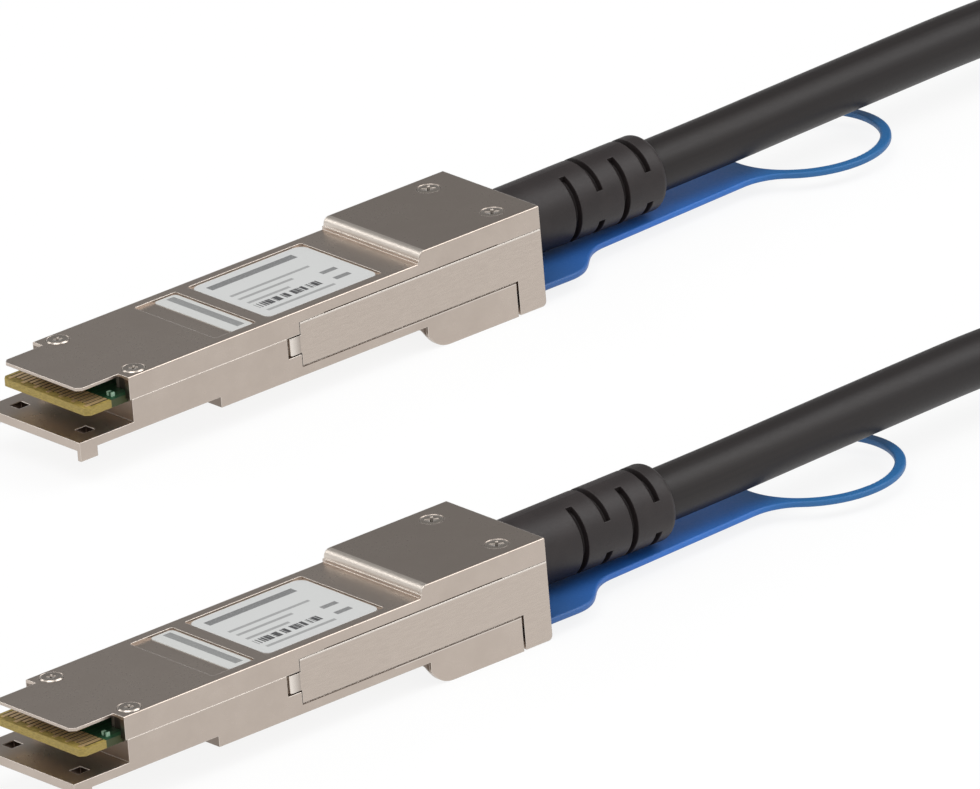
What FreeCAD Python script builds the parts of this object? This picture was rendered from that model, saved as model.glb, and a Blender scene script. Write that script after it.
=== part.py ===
import FreeCAD, Part
import math
import os

# Direct attach copper cable: two identical pluggable connectors on one 0.5 m twinaxial cable.
# Each connector is built in its own axes: x runs from the nose to the cable, y is across the
# body, z = 0 is the underside of the body. The two are then set down side by side.
# Part axes: +X from the noses to the cable, +Z up, origin at the middle of the resting surface.

# How far a cut reaches past the face it opens
past = 1.0
# How far joined blocks run into each other
join = 0.5
slot_lap = 0.1
# Tolerances for picking edges and faces
tolerance = 0.01
straight_share = 0.99

# Connector body
body_width = 18.35
body_length = 74.4
low_top = 8.5
high_top = 10.0
block_length = 19.4
ramp_radius = 0.95
foot_height = 0.45
foot_depth = 0.15
seam_height = 5.5
edge_round = 0.2
roof = 1.0
rear_wall = 1.5

# Cover nose
nose_front = 2.0
nose_inset = 1.925
nose_plate = 0.4
nose_corner = 0.65
cover_front = 8.4
front_room_depth = 1.0
front_room_wall = 0.9
boss_length = 4.6
boss_width = 3.775
cavity_wall = 1.975
cavity_lead = 2.0
rib = 1.0

# Shell nose and underside
shell_setback = 0.26
lip_top = 2.55
lip_thick = 1.15
lip_tab_length = 2.7
lip_tab_drop = 1.3
lip_tab_thick = 0.6
recess_end = 22.4
floor_thick = 1.2
window_x = 2.4
window_spacing = 10.6
window_size = 1.8
heel_slope = 5.0
heel_length = 11.0
heel_pull = (1.6, 3.4)
heel_drop = 3.3
cheek_thick = 0.7
cheek_reach = 0.3
tail_length = 4.5
witness_setback = 0.4
witness_size = (1.2, 0.4, 1.3)
tail_bottom = -0.45

# Latch yoke
arm_thick = 0.8
arm_length = 38.8
arm_clearance = 0.1
arm_bottom = 1.32
arm_top = 6.95
slide_gap = 0.07
slot_length = 2.1
slot_bottom = 2.8
tongue_length = 1.75
tongue_margin = 0.2
leg_gap = 0.35
yoke_plate = 0.8
yoke_top = -0.75
leg_clearance = 0.1
leg_round = 0.6
lug_setback = 14.2
lug_thick = 1.0
lug_depth = 2.3

# Return springs
spring_radius = 1.05
spring_wire = 0.3
spring_turns = 5
spring_steps = 12
spring_sides = 6
spring_length = 7.0
spring_height = 3.65
spring_gap = 0.15

# Pull tab
tab_thick = 0.8
tab_root_inset = 0.35
tab_half_strip = 4.6
tab_root_length = 4.6
tab_taper_length = 9.5
tab_yaw = 3.25
loop_reach = 52.2
loop_outer = 11.4
loop_inner = 10.0
neck_round = 6.5
tab_edge = 0.25
plug_radius = 0.3
plug_head = 0.65
plug_offset = 4.5

# Cable, boot and ferrule
cable_radius = 3.45
cable_length = 500.0
jacket_entry = 4.4
axis_height = 4.45
boot_radius = 4.75
boot_end_radius = 4.95
boot_length = 24.4
boot_round = 0.9
boot_neck = 3.95
boot_flange = 4.25
flange_thick = 1.4
bore_gap = 0.05
jacket_gap = 0.2
slot_setback = 9.8
slot_pitch = 3.9
slot_width = 1.0
slot_rows = 4
slot_half_angle = 66.0
slot_turn = 90.0
slot_floor = 3.9
ferrule_nose = 6.0
ferrule_radius = 4.2
groove_start = 1.6
groove_length = 1.8
groove_depth = 0.35
braid_length = 9.0
fan_length = 9.0
braid_radius = 2.95
channel_gap = 0.3

# Card and what it carries
card_front = 2.35
card_inset = 0.975
card_thick = 1.0
card_bottom = 5.0
card_tail_length = 22.0
card_tail_inset = 2.375
card_corner = 0.6
card_gap = 0.1
notch_gap = 0.3
contact_count = 19
contact_pitch = 0.8
contact_width = 0.54
contact_thick = 0.04
contact_end = 6.1
ground_start = 0.45
signal_start = 1.15
chip_length = 5.0
chip_width = 4.4
chip_thick = 1.1
chip_setback = 30.0
chip_lift = 0.1
lead_count = 4
lead_pitch = 1.27
lead_width = 0.4
lead_thick = 0.15
lead_reach = 0.7
lead_rise = 0.6
capacitor_size = (1.0, 0.5, 0.5)
capacitor_setback = 18.0
capacitor_gap = 1.2
edge_capacitor = (0.8, 0.7)
pair_radius = 0.55
pair_pitch = 3.2
pair_count = 4
pair_land = 3.0
bundle_pitch = 1.32
bundle_rise = 0.69
glue_length = 5.6
glue_height = 1.15
glue_inset = 0.4

# Screws
screw_head = 1.5
screw_shank = 0.8
screw_sink = 0.05
screw_cone = 0.95
thread_gap = 0.02
tip_gap = 0.2
front_screw_inset = (2.4, 1.925)
front_screw_tip = 2.1
rear_screw_inset = (4.85, 3.125)
rear_screw_tip = 1.6
recess_arm = 0.85
recess_width = 0.34
recess_depth = 0.55

# Labels in their shallow pockets
pocket_depth = 0.28
label_thick = 0.1
label_gap = 0.2
pocket_inset = 1.425
pocket_setback = 4.8
main_pocket_length = 18.3
pocket_spacing = 1.9
strip_pocket_length = 6.6
strip_label_length = 3.5
pocket_round = 0.3
label_round = 1.4
strip_label_round = 0.6

# Where the second connector lies beside the first
second_shift = (-69.1, -82.0)

# How much of a straight run its bend may take up
bend_share = 0.45
# Route of the cable in the first connector's axes: the middle points, chosen by hand
cable_route = [
    (100.0, 0.1, 4.45),
    (132.0, 1.9, 4.5),
    (164.0, 3.7, 4.3),
    (195.0, 4.9, 1.6),
    (224.4, 4.4, 0.15),
    (245.9, -7.8, 0.15),
    (258.4, -29.2, 0.15),
    (258.8, -54.0, 0.15),
    (246.4, -75.4, 0.15),
    (224.9, -87.6, 0.15),
    (192.0, -87.9, 0.15),
    (159.5, -84.3, 0.15),
    (127.5, -80.2, 1.5),
    (94.9, -78.3, 4.3),
    (62.9, -80.1, 4.5),
    (30.9, -81.9, 4.45),
]

# Worked out from the sizes above
half_width = body_width / 2
step_x = body_length - block_length
rear_face = body_length - rear_wall
shell_front = cover_front + shell_setback
nose_half = half_width - nose_inset
window_y = window_spacing / 2
lip_bottom = lip_top - lip_thick
heel_rear = body_length - tail_length
heel_front = heel_rear - heel_length
heel_start = heel_front - heel_slope
arm_inner = half_width - arm_thick
inner_half = arm_inner - arm_clearance
arm_front = body_length - arm_length
arm_wall = arm_front - arm_clearance
ledge_top = arm_bottom - slide_gap
skirt_bottom = arm_top + slide_gap
leg_front = heel_rear + leg_gap
leg_bottom = leg_clearance - heel_drop
lug_x = body_length - lug_setback
tab_half_root = half_width - tab_root_inset
cable_start = body_length - jacket_entry
boot_end = body_length + boot_length
slot_first = body_length + slot_setback
ferrule_front = cable_start - ferrule_nose
braid_front = cable_start - braid_length
channel_radius = ferrule_radius + channel_gap
cavity_end = braid_front - cavity_lead
cavity_half = half_width - cavity_wall
card_top = card_bottom + card_thick
card_half = half_width - card_inset
card_tail_half = half_width - card_tail_inset
card_end = braid_front - fan_length
card_step = card_end - card_tail_length
boss_end = cover_front + boss_length
boss_inner = half_width - boss_width
front_screw = (cover_front + front_screw_inset[0], half_width - front_screw_inset[1])
rear_screw = (body_length - rear_screw_inset[0], half_width - rear_screw_inset[1])
pocket_half = half_width - pocket_inset
main_pocket_end = step_x - pocket_setback
main_pocket = (main_pocket_end - main_pocket_length, main_pocket_end)
strip_pocket_end = main_pocket[0] - pocket_spacing
strip_pocket = (strip_pocket_end - strip_pocket_length, strip_pocket_end)


def box(x0, x1, y0, y1, z0, z1):
    return Part.makeBox(x1 - x0, y1 - y0, z1 - z0, FreeCAD.Vector(x0, y0, z0))


def both_sides(x0, x1, y0, y1, z0, z1):
    near = box(x0, x1, -y1, -y0, z0, z1)
    far = box(x0, x1, y0, y1, z0, z1)
    return [near, far]


def rod(radius, x0, x1, y=0.0, z=axis_height):
    start = FreeCAD.Vector(x0, y, z)
    return Part.makeCylinder(radius, x1 - x0, start, FreeCAD.Vector(1, 0, 0))


def side_prism(edges, y0, y1):
    face = Part.Face(Part.Wire(edges))
    face.translate(FreeCAD.Vector(0, y0, 0))
    return face.extrude(FreeCAD.Vector(0, y1 - y0, 0))


def line(a, b):
    return Part.LineSegment(a, b).toShape()


def lines(points):
    return [line(a, b) for a, b in zip(points, points[1:])]


def in_profile(x, z):
    return FreeCAD.Vector(x, 0, z)


def in_plan(x, y, z=0.0):
    return FreeCAD.Vector(x, y, z)


def arc(start, middle, end):
    return Part.Arc(start, middle, end).toShape()


def bezier(points):
    curve = Part.BezierCurve()
    curve.setPoles(points)
    return curve.toShape()


def revolved(points, z=axis_height):
    vectors = [FreeCAD.Vector(x, 0, z + r) for x, r in points]
    face = Part.Face(Part.makePolygon(vectors + vectors[:1]))
    return face.revolve(FreeCAD.Vector(0, 0, z), FreeCAD.Vector(1, 0, 0), 360)


def fuse(shapes):
    return shapes[0].multiFuse(shapes[1:]).removeSplitter()


def edges_at(shape, test):
    return [edge for edge in shape.Edges if test(edge)]


def along(edge, name):
    first, last = edge.Vertexes[0].Point, edge.Vertexes[-1].Point
    return abs(getattr(last, name) - getattr(first, name)) > straight_share * edge.Length


def rounded_plate(x0, x1, half, z0, z1, radius):
    plate = box(x0, x1, -half, half, z0, z1)
    return plate.makeFillet(radius, edges_at(plate, lambda edge: along(edge, "z")))


def screw_spots(spot):
    return [(spot[0], -spot[1]), (spot[0], spot[1])]


def screw_hole(spot, top, tip):
    x, y = spot
    down = FreeCAD.Vector(0, 0, -1)
    mouth = FreeCAD.Vector(x, y, top + screw_sink)
    clear_head = screw_head + 2 * screw_sink
    cone = Part.makeCone(clear_head, screw_shank, screw_cone + 2 * screw_sink, mouth, down)
    shank = Part.makeCylinder(screw_shank, top - tip, FreeCAD.Vector(x, y, top), down)
    return cone.fuse(shank)


def top_cover():
    """Cast cover: thin nose, label pockets, raised rear block and the skirt over the latch."""
    arc_middle = ramp_radius * (1 - math.sqrt(0.5))
    profile = lines([
        in_profile(step_x + ramp_radius, high_top),
        in_profile(body_length, high_top),
        in_profile(body_length, skirt_bottom),
        in_profile(arm_wall, skirt_bottom),
        in_profile(arm_wall, seam_height),
        in_profile(cover_front, seam_height),
        in_profile(cover_front, low_top),
        in_profile(step_x - foot_depth, low_top),
        in_profile(step_x - foot_depth, low_top + foot_height),
        in_profile(step_x, low_top + foot_height),
        in_profile(step_x, high_top - ramp_radius),
    ])
    profile.append(arc(
        in_profile(step_x, high_top - ramp_radius),
        in_profile(step_x + arc_middle, high_top - arc_middle),
        in_profile(step_x + ramp_radius, high_top),
    ))
    cover = side_prism(profile, -half_width, half_width)
    cover = cover.makeFillet(edge_round, edges_at(cover, lambda edge: (
        edge.BoundBox.ZMin > skirt_bottom
        and abs(abs(edge.BoundBox.Center.y) - half_width) < tolerance
        and along(edge, "x")
    )))
    nose = Part.Face(Part.makePolygon([
        in_plan(boss_end, -nose_half),
        in_plan(nose_front + nose_corner, -nose_half),
        in_plan(nose_front, nose_corner - nose_half),
        in_plan(nose_front, nose_half - nose_corner),
        in_plan(nose_front + nose_corner, nose_half),
        in_plan(boss_end, nose_half),
        in_plan(boss_end, -nose_half),
    ]))
    nose = nose.extrude(FreeCAD.Vector(0, 0, nose_plate))
    nose.translate(FreeCAD.Vector(0, 0, low_top - nose_plate))
    tongue_block = box(arm_wall, body_length, -inner_half, inner_half, seam_height, skirt_bottom)
    cover = fuse([cover, nose, tongue_block])
    card_room = card_half + card_gap
    front_half = half_width - front_room_wall
    clear = [
        box(cover_front - past, card_step + past, -card_room, card_room, seam_height - past, card_top),
        box(cover_front - past, cover_front + front_room_depth, -front_half, front_half,
            seam_height - past, low_top - nose_plate),
        box(cover_front - past, boss_end, -boss_inner, boss_inner, seam_height - past,
            low_top - nose_plate),
        box(boss_end, cavity_end, -cavity_half, cavity_half, seam_height - past, low_top - roof),
        rod(channel_radius, cavity_end - past, rear_face),
        rod(boot_neck + bore_gap, rear_face - past, body_length + past),
        rounded_plate(main_pocket[0], main_pocket[1], pocket_half, low_top - pocket_depth,
                      low_top + past, pocket_round),
        rounded_plate(strip_pocket[0], strip_pocket[1], pocket_half, low_top - pocket_depth,
                      low_top + past, pocket_round),
    ]
    clear += [screw_hole(spot, low_top, seam_height - past) for spot in screw_spots(front_screw)]
    clear += [screw_hole(spot, high_top, seam_height - past) for spot in screw_spots(rear_screw)]
    return cover.cut(clear)


def bottom_shell():
    """Cast trough: nose lip, heel under the cable end, latch recesses and spring pockets."""
    profile = lines([
        in_profile(heel_front, -heel_drop),
        in_profile(heel_rear, -heel_drop),
        in_profile(heel_rear, ledge_top),
        in_profile(arm_wall, ledge_top),
        in_profile(arm_wall, seam_height),
        in_profile(shell_front, seam_height),
        in_profile(shell_front, lip_top),
        in_profile(0, lip_top),
        in_profile(0, lip_bottom),
        in_profile(recess_end, lip_bottom),
        in_profile(recess_end, 0),
        in_profile(heel_start, 0),
    ])
    profile.append(bezier([
        in_profile(heel_start, 0),
        in_profile(heel_start + heel_pull[0], 0),
        in_profile(heel_front - heel_pull[1], -heel_drop),
        in_profile(heel_front, -heel_drop),
    ]))
    shell = side_prism(profile, -half_width, half_width)
    core = box(arm_wall - join, heel_rear, -inner_half, inner_half, 0, seam_height)
    tail = box(heel_rear - join, body_length, -inner_half, inner_half, tail_bottom, seam_height)
    lip_tabs = both_sides(0, lip_tab_length, half_width - lip_tab_thick, half_width,
                          lip_bottom - lip_tab_drop, lip_bottom)
    shell = fuse([shell, core, tail] + lip_tabs)
    card_room = card_half + card_gap
    clear = both_sides(arm_wall - slot_length, arm_wall + slot_lap, inner_half, half_width + past,
                       slot_bottom, seam_height + past)
    clear += [
        box(shell_front - past, card_step + past, -card_room, card_room, card_bottom, seam_height + past),
        box(boss_end, cavity_end, -cavity_half, cavity_half, floor_thick + lip_bottom,
            seam_height + past),
        box(recess_end + floor_thick, heel_start, -cavity_half, cavity_half, floor_thick,
            seam_height + past),
        box(shell_front + rear_wall, boss_end + past, rib - boss_inner, boss_inner - rib,
            floor_thick + lip_bottom, seam_height + past),
        box(heel_start, heel_front + cheek_reach, cheek_thick - half_width,
            half_width - cheek_thick, -heel_drop - past, 0),
        rod(channel_radius, cavity_end - past, rear_face),
        rod(boot_neck + bore_gap, rear_face - past, body_length + past),
    ]
    spring_room = spring_radius + spring_gap
    pocket_end = lug_x + lug_thick + spring_length
    clear += both_sides(lug_x - slide_gap, pocket_end, inner_half - lug_depth, half_width,
                        spring_height - spring_room, spring_height + spring_room)
    witness_x = heel_start + witness_setback
    witness_length, witness_depth, witness_height = witness_size
    clear += both_sides(witness_x, witness_x + witness_length, half_width - witness_depth,
                        half_width + past, -witness_height, 0)
    clear += both_sides(window_x, window_x + window_size, window_y, window_y + window_size,
                        lip_bottom - past, lip_top + past)
    clear += [screw_hole(spot, low_top, front_screw_tip) for spot in screw_spots(front_screw)]
    clear += [screw_hole(spot, high_top, rear_screw_tip) for spot in screw_spots(rear_screw)]
    return shell.cut(clear)


def latch_yoke():
    """Folded yoke: two side arms with wedge tongues, rear legs, a cross channel, spring lugs."""
    plate = lines([
        in_profile(arm_front, arm_bottom),
        in_profile(arm_front, arm_top),
        in_profile(body_length, arm_top),
        in_profile(body_length, leg_bottom),
        in_profile(leg_front, leg_bottom),
        in_profile(leg_front, arm_bottom),
        in_profile(arm_front, arm_bottom),
    ])
    near = side_prism(plate, -half_width, -arm_inner)
    far = side_prism(plate, arm_inner, half_width)
    tongue_low = slot_bottom + tongue_margin
    tongue_high = seam_height - tongue_margin
    tongue_front = arm_front - tongue_length
    tip_radius = arm_thick / 2
    tongues = both_sides(tongue_front + tip_radius, arm_front, arm_inner, half_width,
                         tongue_low, tongue_high)
    for side in (-1, 1):
        middle = FreeCAD.Vector(tongue_front + tip_radius, side * (arm_inner + tip_radius),
                                tongue_low)
        tongues.append(Part.makeCylinder(tip_radius, tongue_high - tongue_low, middle))
    channel = [
        box(leg_front, body_length, -half_width, half_width, leg_bottom, leg_bottom + yoke_plate),
        box(body_length - yoke_plate, body_length, -half_width, half_width, leg_bottom, yoke_top),
    ]
    lugs = both_sides(lug_x, lug_x + lug_thick, inner_half - lug_depth + slide_gap,
                      half_width, spring_height - spring_radius, spring_height + spring_radius)
    yoke = fuse([near, far] + tongues + channel + lugs)
    yoke = yoke.makeFillet(leg_round, edges_at(yoke, lambda edge: (
        along(edge, "y") and edge.BoundBox.XMin > body_length - tolerance
        and edge.BoundBox.ZMax < leg_bottom + tolerance
    )))
    plug_height = yoke_top - tab_thick / 2
    holes = [rod(plug_radius, body_length - 2 * yoke_plate, body_length + past, y, plug_height)
             for y in (-plug_offset, plug_offset)]
    return yoke.cut(holes)


def yawed(x, y):
    """A point of the strip, whose line leans a little to one side of the connector's."""
    turn = math.radians(tab_yaw)
    return in_plan(body_length + x * math.cos(turn) - y * math.sin(turn),
                   x * math.sin(turn) + y * math.cos(turn))


def pull_tab():
    """Moulded pull tab: wide root on the yoke, tapered neck, flat strip and finger loop."""
    taper_end = tab_root_length + tab_taper_length
    reach = tab_taper_length / 2
    root_x = body_length + tab_root_length
    strip_end = loop_reach - loop_inner
    turn = math.radians(tab_yaw)
    ahead = FreeCAD.Vector(math.cos(turn), math.sin(turn), 0)
    sides = []
    for side in (-1, 1):
        corner = in_plan(body_length, side * tab_half_root)
        shoulder = in_plan(root_x, side * tab_half_root)
        waist = yawed(taper_end, side * tab_half_strip)
        neck = yawed(strip_end, side * tab_half_strip)
        sides.append([corner, shoulder, waist, neck])
    edges = []
    for corner, shoulder, waist, neck in sides:
        edges.append(line(corner, shoulder))
        edges.append(bezier([shoulder, shoulder + FreeCAD.Vector(reach, 0, 0),
                             waist - ahead * reach, waist]))
        edges.append(line(waist, neck))
    edges.append(line(sides[0][0], sides[1][0]))
    edges.append(line(sides[0][3], sides[1][3]))
    outline = Part.Face(Part.Wire(Part.__sortEdges__(edges)))
    plate = outline.extrude(FreeCAD.Vector(0, 0, tab_thick))
    centre = yawed(loop_reach, 0)
    plate = fuse([plate, Part.makeCylinder(loop_outer, tab_thick, centre)])
    plate = plate.makeFillet(neck_round, edges_at(plate, lambda edge: (
        along(edge, "z") and root_x + 2 * tab_taper_length < edge.BoundBox.Center.x < centre.x
    )))
    plate = plate.cut(Part.makeCylinder(loop_inner, tab_thick, centre))
    plate = plate.makeFillet(tab_edge, edges_at(plate, lambda edge: (
        edge.BoundBox.ZLength < tolerance and edge.BoundBox.XMax > body_length + tolerance
    )))
    plate.translate(FreeCAD.Vector(0, 0, yoke_top - tab_thick))
    plug_height = yoke_top - tab_thick / 2
    inner_face = body_length - yoke_plate
    plugs = []
    for y in (-plug_offset, plug_offset):
        plugs.append(rod(plug_radius, inner_face - plug_radius, body_length, y, plug_height))
        plugs.append(rod(plug_head, inner_face - plug_radius, inner_face, y, plug_height))
    return fuse([plate] + plugs)


def coil_sections():
    """Wire sections along one coil, from its first turn to its last, about the x axis."""
    sections = []
    coil_radius = spring_radius - spring_wire / 2
    coil_length = spring_length - spring_wire - 2 * spring_gap
    steps = spring_turns * spring_steps
    for step in range(steps + 1):
        around = 2 * math.pi * step / spring_steps
        outward = FreeCAD.Vector(0, math.cos(around), math.sin(around))
        centre = outward * coil_radius + FreeCAD.Vector(coil_length * step / steps, 0, 0)
        ring = []
        for side in range(spring_sides):
            turn = 2 * math.pi * side / spring_sides
            reach = outward * math.cos(turn) + FreeCAD.Vector(math.sin(turn), 0, 0)
            ring.append(centre + reach * (spring_wire / 2))
        sections.append(ring)
    return sections


def coil_solid(sections):
    """A closed solid with flat facets between each wire section and the next."""
    facets = [sections[0], sections[-1]]
    for ring, following in zip(sections, sections[1:]):
        for side in range(spring_sides):
            other = (side + 1) % spring_sides
            facets.append([ring[side], ring[other], following[other]])
            facets.append([ring[side], following[other], following[side]])
    faces = [Part.Face(Part.makePolygon(points + points[:1])) for points in facets]
    shell = Part.makeShell(faces)
    shell.sewShape()
    solid = Part.makeSolid(shell)
    if solid.Volume < 0:
        solid.reverse()
    return solid


def return_springs():
    """Two small coil springs that draw the yoke back against the shell."""
    springs = []
    coil = coil_solid(coil_sections())
    first = lug_x + lug_thick + spring_gap + spring_wire / 2
    for side in (-1, 1):
        spring = coil.copy()
        offset = side * (inner_half - lug_depth / 2)
        spring.translate(FreeCAD.Vector(first, offset, spring_height))
        springs.append(spring)
    return Part.makeCompound(springs)


def cable_boot():
    """Strain relief: flange and neck in the body, staggered slots, rounded end."""
    bore = cable_radius + jacket_gap
    flange_rear = rear_face - bore_gap
    flange_front = flange_rear - flange_thick
    root = body_length + bore_gap
    boot = revolved([
        (flange_front, bore), (flange_front, boot_flange), (flange_rear, boot_flange),
        (flange_rear, boot_neck), (root, boot_neck), (root, boot_radius),
        (boot_end, boot_end_radius), (boot_end, bore),
    ])
    boot = boot.makeFillet(boot_round, edges_at(boot, lambda edge: (
        abs(edge.BoundBox.Center.x - boot_end) < tolerance
        and edge.BoundBox.YLength > 2 * boot_end_radius - tolerance
    )))
    slots = []
    for row in range(slot_rows):
        x = slot_first + row * slot_pitch - slot_width / 2
        middle = slot_turn * (row + 1)
        for turn in (middle, middle + 2 * slot_turn):
            wedge = Part.makeCylinder(
                2 * boot_radius, slot_width, FreeCAD.Vector(x, 0, axis_height),
                FreeCAD.Vector(1, 0, 0), 2 * slot_half_angle)
            wedge.rotate(FreeCAD.Vector(0, 0, axis_height), FreeCAD.Vector(1, 0, 0),
                         turn - slot_half_angle)
            slots.append(wedge.cut(rod(slot_floor, x - past, x + slot_width + past)))
    return boot.cut(slots)


def crimp_ferrule():
    """Turned ferrule that grips the braid ahead of the jacket's end."""
    rear = rear_face - 2 * bore_gap - flange_thick
    bore = cable_radius + bore_gap
    groove = ferrule_radius - groove_depth
    groove_front = ferrule_front + groove_start
    groove_rear = groove_front + groove_length
    return revolved([
        (ferrule_front, braid_radius), (ferrule_front, ferrule_radius),
        (groove_front, ferrule_radius), (groove_front, groove),
        (groove_rear, groove), (groove_rear, ferrule_radius),
        (rear, ferrule_radius), (rear, bore), (cable_start, bore), (cable_start, braid_radius),
    ])


def braid_bundle():
    """Braided shield round the eight pairs, from the jacket's end to where they fan out."""
    return rod(braid_radius, braid_front, cable_start)


def paddle_card():
    """Circuit card: bare bevelled nose, side notches for the front screws, narrow tail."""
    outline = Part.makePolygon([
        in_plan(card_front, card_corner - card_half),
        in_plan(card_front, card_half - card_corner),
        in_plan(card_front + card_corner, card_half),
        in_plan(card_step, card_half),
        in_plan(card_step, card_tail_half),
        in_plan(card_end, card_tail_half),
        in_plan(card_end, -card_tail_half),
        in_plan(card_step, -card_tail_half),
        in_plan(card_step, -card_half),
        in_plan(card_front + card_corner, -card_half),
        in_plan(card_front, card_corner - card_half),
    ])
    card = Part.Face(outline).extrude(FreeCAD.Vector(0, 0, card_thick))
    card.translate(FreeCAD.Vector(0, 0, card_bottom))
    notch = screw_shank + notch_gap
    cuts = []
    for x, y in screw_spots(front_screw):
        cuts.append(Part.makeCylinder(notch, card_thick, FreeCAD.Vector(x, y, card_bottom)))
        outer = math.copysign(card_half + past, y)
        cuts.append(box(x - notch, x + notch, min(y, outer), max(y, outer),
                        card_bottom, card_top))
    return card.cut(cuts)


def gold_contacts():
    """Plated contacts on both faces of the card; every third one reaches further forward."""
    contacts = []
    for index in range(contact_count):
        y = (index - (contact_count - 1) / 2) * contact_pitch
        lead_in = ground_start if index % 3 == 0 else signal_start
        for z in (card_bottom - contact_thick, card_top):
            contacts.append(box(card_front + lead_in, contact_end, y - contact_width / 2,
                                y + contact_width / 2, z, z + contact_thick))
    return Part.makeCompound(contacts)


def memory_chip():
    """Small memory chip with bent leads on the card."""
    chip_x = card_end - chip_setback
    half = chip_width / 2
    lead_top = card_top + lead_rise
    body = box(chip_x, chip_x + chip_length, -half, half, card_top + chip_lift,
               card_top + chip_thick)
    leads = []
    for index in range(lead_count):
        x = chip_x + chip_length / 2 + (index - (lead_count - 1) / 2) * lead_pitch
        x0, x1 = x - lead_width / 2, x + lead_width / 2
        shoulder = half + 2 * lead_thick
        leads += both_sides(x0, x1, half + lead_thick, half + lead_reach, card_top,
                            card_top + lead_thick)
        leads += both_sides(x0, x1, half + lead_thick, shoulder, card_top, lead_top)
        leads += both_sides(x0, x1, half - lead_thick, shoulder, lead_top - lead_thick, lead_top)
    return fuse([body] + leads)


def capacitors():
    """Coupling capacitors in a row ahead of the wires, and one by the card's near edge."""
    length, width, height = capacitor_size
    capacitor_x = card_end - capacitor_setback
    parts = []
    for index in range(pair_count):
        y = (index - (pair_count - 1) / 2) * pair_pitch
        for offset in (-capacitor_gap / 2, capacitor_gap / 2):
            parts.append(box(capacitor_x, capacitor_x + length, y + offset - width / 2,
                             y + offset + width / 2, card_top, card_top + height))
    edge_x = contact_end + edge_capacitor[0]
    edge_y = edge_capacitor[1] - card_half
    parts.append(box(edge_x, edge_x + width, edge_y, edge_y + length, card_top,
                     card_top + height))
    return Part.makeCompound(parts)


def twinax_pairs():
    """Eight shielded pairs fanned out of the braid onto both faces of the card."""
    pairs = []
    for index in range(pair_count):
        spread = index - (pair_count - 1) / 2
        for face in (1, -1):
            surface = card_top if face > 0 else card_bottom
            land = surface + face * pair_radius
            first = FreeCAD.Vector(braid_front, spread * bundle_pitch,
                                   axis_height + face * bundle_rise)
            lift = FreeCAD.Vector(card_end + card_gap, spread * pair_pitch, land)
            fan = (braid_front - card_end) / 2
            curve = bezier([first, first - FreeCAD.Vector(fan, 0, 0),
                            lift + FreeCAD.Vector(fan, 0, 0), lift])
            straight = line(lift, lift - FreeCAD.Vector(pair_land, 0, 0))
            ring = Part.makeCircle(pair_radius, first, FreeCAD.Vector(1, 0, 0))
            path = Part.Wire([curve, straight])
            pairs.append(path.makePipeShell([Part.Wire(ring)], True, False))
    return Part.makeCompound(pairs)


def wire_glue():
    """Two beads of glue that hold the pairs' soldered ends to the card."""
    start = card_end + card_gap - pair_land - glue_length
    half = card_tail_half - glue_inset
    beads = []
    for base in (card_top, card_bottom - glue_height):
        bead = box(start, start + glue_length, -half, half, base, base + glue_height)
        beads.append(bead)
    return Part.makeCompound(beads)


def screws(spot, top, tip):
    """A pair of countersunk cross-recess screws."""
    pair = []
    head_top = top - screw_sink
    thread = screw_shank - thread_gap
    for x, y in screw_spots(spot):
        down = FreeCAD.Vector(0, 0, -1)
        seat = FreeCAD.Vector(x, y, head_top)
        cone = Part.makeCone(screw_head, thread, screw_cone, seat, down)
        shank = Part.makeCylinder(thread, head_top - tip - tip_gap, seat, down)
        screw = cone.fuse(shank)
        arms = [
            box(x - recess_arm, x + recess_arm, y - recess_width / 2, y + recess_width / 2,
                head_top - recess_depth, head_top + past),
            box(x - recess_width / 2, x + recess_width / 2, y - recess_arm, y + recess_arm,
                head_top - recess_depth, head_top + past),
        ]
        pair.append(screw.cut(arms))
    return Part.makeCompound(pair)


def label(x0, x1, radius):
    floor = low_top - pocket_depth
    half = pocket_half - label_gap
    return rounded_plate(x0, x1, half, floor, floor + label_thick, radius)


def main_label():
    """Printed label that fills the large pocket."""
    return label(main_pocket[0] + label_gap, main_pocket[1] - label_gap, label_round)


def strip_label():
    """Narrow printed label at the rear of the small pocket."""
    rear = strip_pocket[1] - label_gap
    return label(rear - strip_label_length, rear, strip_label_round)


def connector():
    """Every piece of one connector, in the connector's own axes."""
    return {
        "top_cover": top_cover(),
        "bottom_shell": bottom_shell(),
        "latch_yoke": latch_yoke(),
        "pull_tab": pull_tab(),
        "return_springs": return_springs(),
        "cable_boot": cable_boot(),
        "crimp_ferrule": crimp_ferrule(),
        "braid_bundle": braid_bundle(),
        "paddle_card": paddle_card(),
        "gold_contacts": gold_contacts(),
        "memory_chip": memory_chip(),
        "capacitors": capacitors(),
        "twinax_pairs": twinax_pairs(),
        "wire_glue": wire_glue(),
        "front_screws": screws(front_screw, low_top, front_screw_tip),
        "rear_screws": screws(rear_screw, high_top, rear_screw_tip),
        "main_label": main_label(),
        "strip_label": strip_label(),
    }


def route_points():
    """The whole route, from one jacket end to the other, in the first connector's axes."""
    start = FreeCAD.Vector(cable_start, 0, axis_height)
    end = FreeCAD.Vector(cable_start + second_shift[0], second_shift[1], axis_height)
    return [start] + [FreeCAD.Vector(*point) for point in cable_route] + [end]


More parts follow.
